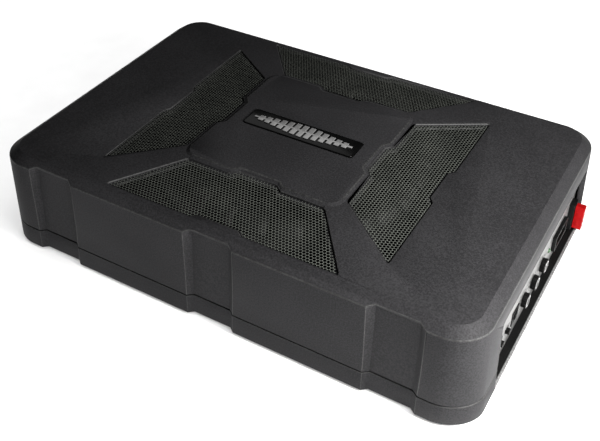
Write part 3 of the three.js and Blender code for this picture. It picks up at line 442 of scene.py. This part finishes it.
def returned_piece(node, width=0.25 * MM):
    obj = shown(f"{node}_finished", returned(node), BODY_OF[node], SLOT_OF[node])
    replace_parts(obj, node)
    return round_edges(obj, width)


def prism(outline, z0, z1, matrix=None):
    """A straight-sided solid over a flat outline of (x, y) points."""
    bm = bmesh.new()
    face = bm.faces.new([bm.verts.new((x, y, z0)) for x, y in outline])
    top = bmesh.ops.extrude_face_region(bm, geom=[face])["geom"]
    bmesh.ops.translate(bm, verts=[v for v in top if isinstance(v, bmesh.types.BMVert)], vec=(0, 0, z1 - z0))
    bmesh.ops.recalc_face_normals(bm, faces=bm.faces)
    if matrix:
        bmesh.ops.transform(bm, matrix=matrix, verts=bm.verts)
    return bm


def merged(parts):
    """Several bmeshes as one."""
    whole = bmesh.new()
    for part in parts:
        mesh = bpy.data.meshes.new("part")
        part.to_mesh(mesh)
        part.free()
        whole.from_mesh(mesh)
        bpy.data.meshes.remove(mesh)
    return whole


def circle(radius, count=32, turn=0.0):
    angles = [turn + 2 * math.pi * i / count for i in range(count)]
    return [(radius * math.cos(a), radius * math.sin(a)) for a in angles]


def block(x0, x1, y0, y1, z0, z1):
    return prism([(x0, y0), (x1, y0), (x1, y1), (x0, y1)], z0, z1)


def on_end(y, z, x):
    """A frame on the control end: its x runs along +Y, its y up and its z out of the end."""
    return Matrix(((0, 0, 1, x), (1, 0, 0, y), (0, 1, 0, z), (0, 0, 0, 1)))


HEAD_DOME = 0.3 * MM    # level faces this close to the head's end belong to it
CROSS_DEPTH = 1.1 * MM
CROSS_ARM = 2.1 * MM
CROSS_HALF = 0.5 * MM


def cross_headed(node, above):
    """A turned screw whose flat head end, above or below, gets a sunk cross."""
    bm = returned(node, 32)
    low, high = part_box(node)
    axis = Vector(((low.x + high.x) / 2, (low.y + high.y) / 2))
    level = [f for f in bm.faces if abs(f.normal.z) > 0.5]
    outermost = max if above else min
    height = outermost(f.calc_center_median().z for f in level)
    cap = [f for f in level if abs(f.calc_center_median().z - height) < HEAD_DOME]
    rim = ordered_loop([e for e in bm.edges if sum(f in cap for f in e.link_faces) == 1])
    bmesh.ops.delete(bm, geom=cap, context="FACES")
    sink = -CROSS_DEPTH if above else CROSS_DEPTH
    arm, half = CROSS_ARM, CROSS_HALF
    cross = [(half, half), (half, arm), (-half, arm), (-half, half), (-arm, half), (-arm, -half),
             (-half, -half), (-half, -arm), (half, -arm), (half, -half), (arm, -half), (arm, half)]
    outer = [Vector((p.x - axis.x, p.y - axis.y)) for p in rim]
    if sum(a.cross(b) for a, b in zip(outer, outer[1:] + outer[:1])) < 0:
        outer.reverse()
    points = outer + [Vector(p) for p in cross]
    faces = [list(range(len(outer))), [len(outer) + i for i in range(len(cross))]]
    verts, _, triangles, _, _, sources = geometry.delaunay_2d_cdt(points, [], faces, 1, DELAUNAY_WELD)
    rim_z = rim[0].z
    top = [bm.verts.new((axis.x + p.x, axis.y + p.y, rim_z)) for p in verts]
    sunk = {}
    for triangle, source in zip(triangles, sources):
        if source == [0]:
            bm.faces.new([top[i] for i in triangle])
        else:
            for i in triangle:
                sunk[i] = sunk.get(i) or bm.verts.new(top[i].co + Vector((0, 0, sink)))
            bm.faces.new([sunk[i] for i in triangle])
    edges = {}
    for triangle, source in zip(triangles, sources):
        if source != [0]:
            for a, b in zip(triangle, list(triangle[1:]) + [triangle[0]]):
                key = frozenset((a, b))
                edges[key] = edges.get(key, 0) + 1
    for key, uses in edges.items():
        if uses == 1:
            a, b = key
            bm.faces.new([top[a], top[b], sunk[b], sunk[a]])
    bmesh.ops.delete(bm, geom=[v for v in bm.verts if not v.link_faces], context="VERTS")
    bmesh.ops.remove_doubles(bm, verts=bm.verts, dist=WELD)
    bmesh.ops.recalc_face_normals(bm, faces=bm.faces)
    obj = shown(f"{node}_finished", bm, BODY_OF[node], SLOT_OF[node])
    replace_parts(obj, node)
    return round_edges(obj, 0.12 * MM)


# ---- Grilles ---------------------------------------------------------------------------------
HOLE_R = 1.10 * MM
HOLE_PITCH = 2.3 * MM
ROW_GAP = 2.06 * MM
HOLE_SIDES = 12
HOLE_TURN = 0.13
SHEET = 0.3 * MM


def top_outline(node):
    """The upper face of a flat CAD plate: its outline and its normal."""
    bm = cad_copy(node)
    top = {f for f in bm.faces if f.normal.z > 0.9}
    normal = max(top, key=lambda f: f.calc_area()).normal.copy()
    rim = [e for e in bm.edges if sum(f in top for f in e.link_faces) == 1]
    outline = ordered_loop(rim)
    bm.free()
    return outline, normal


def perforated(node):
    """Steel sheet with staggered round holes in rows along its long side, cut through at its edges."""
    outline, normal = top_outline(node)
    low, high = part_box(node)
    along = Vector((1, 0, 0)) if high.x - low.x > high.y - low.y else Vector((0, 1, 0))
    across = normal.cross(along)
    centre = sum(outline, Vector()) / len(outline)
    flat = [Vector(((p - centre).dot(along), (p - centre).dot(across))) for p in outline]
    if sum(a.cross(b) for a, b in zip(flat, flat[1:] + flat[:1])) < 0:
        flat.reverse()
    half = Vector((max(abs(p.x) for p in flat), max(abs(p.y) for p in flat)))
    points, faces = list(flat), [list(range(len(flat)))]
    rows = int(half.y / ROW_GAP) + 1
    columns = int(half.x / HOLE_PITCH) + 1
    for row in range(-rows, rows + 1):
        for column in range(-columns, columns + 1):
            middle = Vector(((column + 0.5 * (row % 2)) * HOLE_PITCH, row * ROW_GAP))
            if not near_inside(middle, flat, HOLE_R):
                continue
            faces.append([len(points) + i for i in range(HOLE_SIDES)])
            points += [middle + Vector(p) for p in circle(HOLE_R, HOLE_SIDES, turn=HOLE_TURN)]
    verts, _, triangles, _, _, sources = geometry.delaunay_2d_cdt(points, [], faces, 1, DELAUNAY_WELD)
    bm = bmesh.new()
    made = [bm.verts.new(centre + along * p.x + across * p.y) for p in verts]
    for triangle, source in zip(triangles, sources):
        if source == [0]:
            bm.faces.new([made[i] for i in triangle])
    bmesh.ops.delete(bm, geom=[v for v in bm.verts if not v.link_faces], context="VERTS")
    bm.normal_update()
    lower = bmesh.ops.extrude_face_region(bm, geom=list(bm.faces), use_keep_orig=True)["geom"]
    moved = [v for v in lower if isinstance(v, bmesh.types.BMVert)]
    bmesh.ops.translate(bm, verts=moved, vec=-normal * SHEET)
    bmesh.ops.recalc_face_normals(bm, faces=bm.faces)
    return bm


def near_inside(point, outline, margin):
    """True if a circle of that radius round point touches the outline's inside."""
    inside = False
    for a, b in zip(outline, outline[1:] + outline[:1]):
        if (a.y > point.y) != (b.y > point.y):
            if point.x < a.x + (point.y - a.y) * (b.x - a.x) / (b.y - a.y):
                inside = not inside
    if inside:
        return True
    for a, b in zip(outline, outline[1:] + outline[:1]):
        t = max(0.0, min(1.0, (point - a).dot(b - a) / (b - a).length_squared))
        if (point - (a + (b - a) * t)).length < margin:
            return True
    return False


def make_grilles():
    for side in ("back", "left", "front", "right"):
        node = f"grille_{side}"
        obj = shown(f"{node}_mesh", perforated(node), "housing", SLOT_OF[node])
        obj.data.shade_flat()
        obj.data.materials.append(HOLE_SHADE_PAINT)
        # Faces that do not face up, the hole walls and the underside, take the near-black painted shade.
        for face in obj.data.polygons:
            face.material_index = 0 if face.normal.z > 0.5 else 1
        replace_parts(obj, node)


# ---- Case ------------------------------------------------------------------------------------
def make_case():
    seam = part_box("bottom_shell")[1].z
    for node, width in (("top_shell", 0.6 * MM), ("bottom_shell", 0.45 * MM)):
        obj = shown(f"{node}_finished", cad_copy(node), BODY_OF[node], SLOT_OF[node])
        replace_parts(obj, node)
        round_and_highlight_edges(obj, width, seam)
    softened("shell_gasket", 0.1 * MM, 1)
    for i in range(1, 5):
        returned_piece(f"rubber_foot_{i}", 0.3 * MM)


def make_badge():
    softened("badge_plate", 0.35 * MM, 3)
    softened("badge_emblem", 0.12 * MM, 2)


# ---- Control end -----------------------------------------------------------------------------
DIALS = {"gain_knob": "gain_dial", "bass_boost_knob": "bass_boost_dial",
         "crossover_knob": "crossover_dial"}
RING_R, CAP_R = 3.9 * MM, 3.1 * MM
POINTER = {"half": 0.3 * MM, "start": 0.6 * MM, "end": 3.4 * MM}
TICKS, DIAL_TURN = 11, 140
TICK = {"half": 0.2 * MM, "start": 6.2 * MM, "end": 7.3 * MM, "thick": 0.06 * MM}
EMBED = 0.02 * MM       # how deep a laid-on detail reaches into what carries it
PINS, PIN_PITCH, PIN_ROW, PIN_HALF = 5, 4.6 * MM, 2.1 * MM, 0.45 * MM
CONTACT_PITCH, CONTACT_HALF = 1.27 * MM, 0.25 * MM


def detail(name, bm, body, slot, material, soften=0.0):
    obj = shown(name, bm, body, slot, material)
    obj.data.shade_flat()
    return round_edges(obj, soften, 1) if soften else obj


def make_dials(panel_x):
    """A bright ring painted as the highlight on each knob's rim, a pointer line on each knob, and plain ticks
    printed round it.
    """
    for node, body in DIALS.items():
        low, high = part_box(node)
        y, z = (low.y + high.y) / 2, (low.z + high.z) / 2
        # Painted highlight: the bright ring round each black cap stands for the lit rim of the knob's end.
        rim_highlight = prism(circle(RING_R, 48), -EMBED, 0.3 * MM, on_end(y, z, high.x))
        detail(f"{node}_disc", rim_highlight, body, "panel_silver", TIN, 0.1 * MM)
        cap = prism(circle(CAP_R), 0, 0.36 * MM, on_end(y, z, high.x))
        detail(f"{node}_cap", cap, body, SLOT_OF[node], MATERIALS["knob_black"], 0.1 * MM)
        line = block(high.x + 0.3 * MM, high.x + 0.42 * MM, y - POINTER["half"], y + POINTER["half"],
                     z + POINTER["start"], z + POINTER["end"])
        detail(f"{node}_pointer", line, body, "panel_silver", TIN)
        ticks = []
        half, start, end = TICK["half"], TICK["start"], TICK["end"]
        outline = [(-half, start), (half, start), (half, end), (-half, end)]
        for k in range(TICKS):
            degrees = DIAL_TURN - 2 * DIAL_TURN * k / (TICKS - 1)
            place = on_end(y, z, panel_x) @ Matrix.Rotation(math.radians(degrees), 4, "Z")
            ticks.append(prism(outline, -EMBED, TICK["thick"], place))
        detail(f"{node}_ticks", merged(ticks), "housing", "badge_black", PRINT_BLACK)


def make_connectors():
    """Two rows of pins in the harness socket and six contacts in the remote's jack."""
    low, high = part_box("harness_socket")
    y, z = (low.y + high.y) / 2, (low.z + high.z) / 2
    reach = (low.x + 1.5 * MM, high.x - 5.8 * MM)
    places = [(y + (i - PINS // 2) * PIN_PITCH, z + row * PIN_ROW) for i in range(PINS) for row in (-1, 1)]
    pins = [block(*reach, at_y - PIN_HALF, at_y + PIN_HALF, at_z - PIN_HALF, at_z + PIN_HALF)
            for at_y, at_z in places]
    detail("harness_socket_pins", merged(pins), "housing", "zinc_steel", TIN)
    low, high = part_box("remote_jack")
    y, z = (low.y + high.y) / 2, (low.z + high.z) / 2
    across = [y + i * CONTACT_PITCH for i in (-2.5, -1.5, -0.5, 0.5, 1.5, 2.5)]
    wires = [block(low.x + 2.5 * MM, high.x - 2 * MM, at - CONTACT_HALF, at + CONTACT_HALF,
                   z + 3.5 * MM, z + 4.0 * MM) for at in across]
    detail("remote_jack_contacts", merged(wires), "housing", "zinc_steel", TIN)


def make_fuse():
    """Red head with two test windows over tinned legs."""
    obj = softened("fuse", 0.35 * MM, 3)
    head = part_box("fuse_holder")[1].x
    obj.data.materials.append(TIN)
    for face in obj.data.polygons:
        face.material_index = 1 if face.center.x < head - 0.1 * MM else 0
    low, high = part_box("fuse")
    y, z = (low.y + high.y) / 2, (low.z + high.z) / 2
    wide, tall = 0.8 * MM, 1.3 * MM
    outline = [(-wide, -tall), (wide, -tall), (wide, tall), (-wide, tall)]
    windows = [prism(outline, -0.1 * MM, 0.04 * MM, on_end(y, z + side * 5 * MM, high.x))
               for side in (-1, 1)]
    detail("fuse_test_windows", merged(windows), "pulled_fuse", "zinc_steel", TIN)
    heights = [z + k * 2.2 * MM for k in (-3, -2, -1, 0, 1, 2, 3)]
    ribs = [block(head + 0.9 * MM, head + 1.5 * MM, low.y - 0.12 * MM, low.y + 0.1 * MM,
                  at - 0.5 * MM, at + 0.5 * MM) for at in heights]
    detail("fuse_grip_ribs", merged(ribs), "pulled_fuse", "fuse_red", MATERIALS["fuse_red"], 0.05 * MM)


def make_end():
    """The recess floor covered by a near-black sheet of painted shade, the sill in front of it painted pale
    for the light on it, and the controls on the panel.
    """
    low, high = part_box("end_panel")
    sill_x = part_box("bottom_shell")[1].x
    span = (low.y + 4.4 * MM, high.y - 2.9 * MM)
    floor_z = low.z - 0.3 * MM
    sill_deep = 1.6 * MM
    # Painted shade: a near-black sheet laid on the recess floor stands for the shade there.
    shade_sheet = block(high.x + 0.2 * MM, sill_x - sill_deep - 0.1 * MM, *span,
                  floor_z - 0.05 * MM, floor_z + 0.3 * MM)
    detail("recess_painted_shade", shade_sheet, "housing", "gasket_rubber", HOLE_SHADE_PAINT, 0.1 * MM)
    # The sill is the case's dark plastic, painted pale grey for the light that falls on it.
    sill = block(sill_x - sill_deep, sill_x + 0.1 * MM, *span,
                 floor_z - 1.7 * MM, floor_z + 0.25 * MM)
    detail("end_sill", sill, "housing", "shell_plastic", SILL_LIGHT_PAINT, 0.3 * MM)
    make_dials(high.x)
    make_connectors()
    make_fuse()


# ---- Woofer ----------------------------------------------------------------------------------
def soft_ring(node, count=24):
    """A soft ring remade in wedges, each spun from the ring's own profile and attached to no body."""
    sweep = 2 * math.pi / count
    for i in range(count):
        obj = shown(f"{node}_wedge_{i + 1}", returned(node, 4, i * sweep, sweep), None, SLOT_OF[node])
        obj.data.shade_smooth()
        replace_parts(obj, node)
        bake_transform(obj)


def make_woofer():
    for node in ("cone", "dust_cap", "coil_former", "coil_winding", "magnet", "top_plate", "yoke",
                 "spider_ring", "capacitor_1", "capacitor_2"):
        returned_piece(node)
    soft_ring("cone_surround")
    soft_ring("spider")
    # The leads are attached to no body here.
    for node in ("lead_red", "lead_black"):
        obj = shown(f"{node}_finished", cad_copy(node), None, SLOT_OF[node])
        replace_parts(obj, node)
        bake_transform(obj)
    for i in range(1, 5):
        cross_headed(f"case_screw_{i}", above=False)
        cross_headed(f"woofer_screw_{i}", above=True)


def make_rest():
    done = {n for o in bpy.context.scene.objects for n in o.get("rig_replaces", [])}
    for node in NODES:
        if node not in done:
            softened(node, 0.2 * MM, 2)


# ---- Light, floor and camera -----------------------------------------------------------------
def area_light(name, place, target, size, power, colour=(1, 1, 1)):
    data = bpy.data.lights.new(name, "AREA")
    data.shape = "RECTANGLE"
    data.size, data.size_y = size
    data.energy = power
    data.color = colour
    lamp = bpy.data.objects.new(name, data)
    bpy.context.scene.collection.objects.link(lamp)
    lamp.location = place
    lamp.rotation_euler = (Vector(place) - Vector(target)).to_track_quat("Z", "Y").to_euler()
    return lamp


def make_floor():
    bm = bmesh.new()
    bmesh.ops.create_grid(bm, x_segments=8, y_segments=8, size=3)
    mesh = bpy.data.meshes.new("floor")
    bm.to_mesh(mesh)
    bm.free()
    floor = bpy.data.objects.new("floor", mesh)
    bpy.context.scene.collection.objects.link(floor)
    paper = Surface("paper", roughness=0.9)
    paper.colour(paper.noise(40 * MM, 2.0), (0.3, grey(0.86)), (0.7, grey(0.9)))
    mesh.materials.append(paper.material)
    return floor


AIM = (0.1, 0, 0.04)    # all lamps on the case point here


def make_light(floor):
    """Three lamps on the case, and two overhead that reach the floor only."""
    world = bpy.data.worlds.new("studio")
    world.use_nodes = True
    world.node_tree.nodes["Background"].inputs["Color"].default_value = (1, 1, 1, 1)
    world.node_tree.nodes["Background"].inputs["Strength"].default_value = 0.02
    bpy.context.scene.world = world
    area_light("key", (0.38, -0.10, 0.26), AIM, (0.15, 0.15), 3.55, (1.0, 0.99, 0.97))
    area_light("front_fill", (0.38, -0.28, 0.40), AIM, (0.2, 0.2), 1.25)
    area_light("rear_fill", (-0.3, 0.5, 0.7), AIM, (0.4, 0.3), 0.22)
    only = bpy.data.collections.new("floor_only")
    only.objects.link(floor)
    for name, power, shadow in (("overhead", 55, True), ("overhead_soft", 50, False)):
        lamp = area_light(name, (0, 0, 2.2), (0, 0, 0), (3.0, 3.0), power)
        lamp.data.use_shadow = shadow
        lamp.light_linking.receiver_collection = only
    bpy.context.scene.view_settings.view_transform = "Standard"


AZIMUTH, ELEVATION, ROLL = (math.radians(a) for a in (30.822, 33.687, 0.153))
CAMERA_PLACE = Vector((0.2509, -0.4724, 0.4423))
LENS = 56.846           # millimetres, on a sensor 36 wide
SHIFT = (0.0543, -0.1564)


def make_camera():
    back = Vector((math.sin(AZIMUTH) * math.cos(ELEVATION), -math.cos(AZIMUTH) * math.cos(ELEVATION),
                   math.sin(ELEVATION)))
    right = Vector((math.cos(AZIMUTH), math.sin(AZIMUTH), 0))
    up = back.cross(right)
    c, s = math.cos(ROLL), math.sin(ROLL)
    right, up = c * right + s * up, c * up - s * right
    data = bpy.data.cameras.new("camera")
    data.sensor_width = 36
    data.lens = LENS
    data.shift_x, data.shift_y = SHIFT
    data.clip_start, data.clip_end = 0.01, 20
    camera = bpy.data.objects.new("camera", data)
    bpy.context.scene.collection.objects.link(camera)
    camera.matrix_world = Matrix((right, up, back)).transposed().to_4x4()
    camera.location = CAMERA_PLACE
    bpy.context.scene.camera = camera


make_case()
make_grilles()
make_badge()
make_end()
make_woofer()
make_rest()
make_light(make_floor())
make_camera()
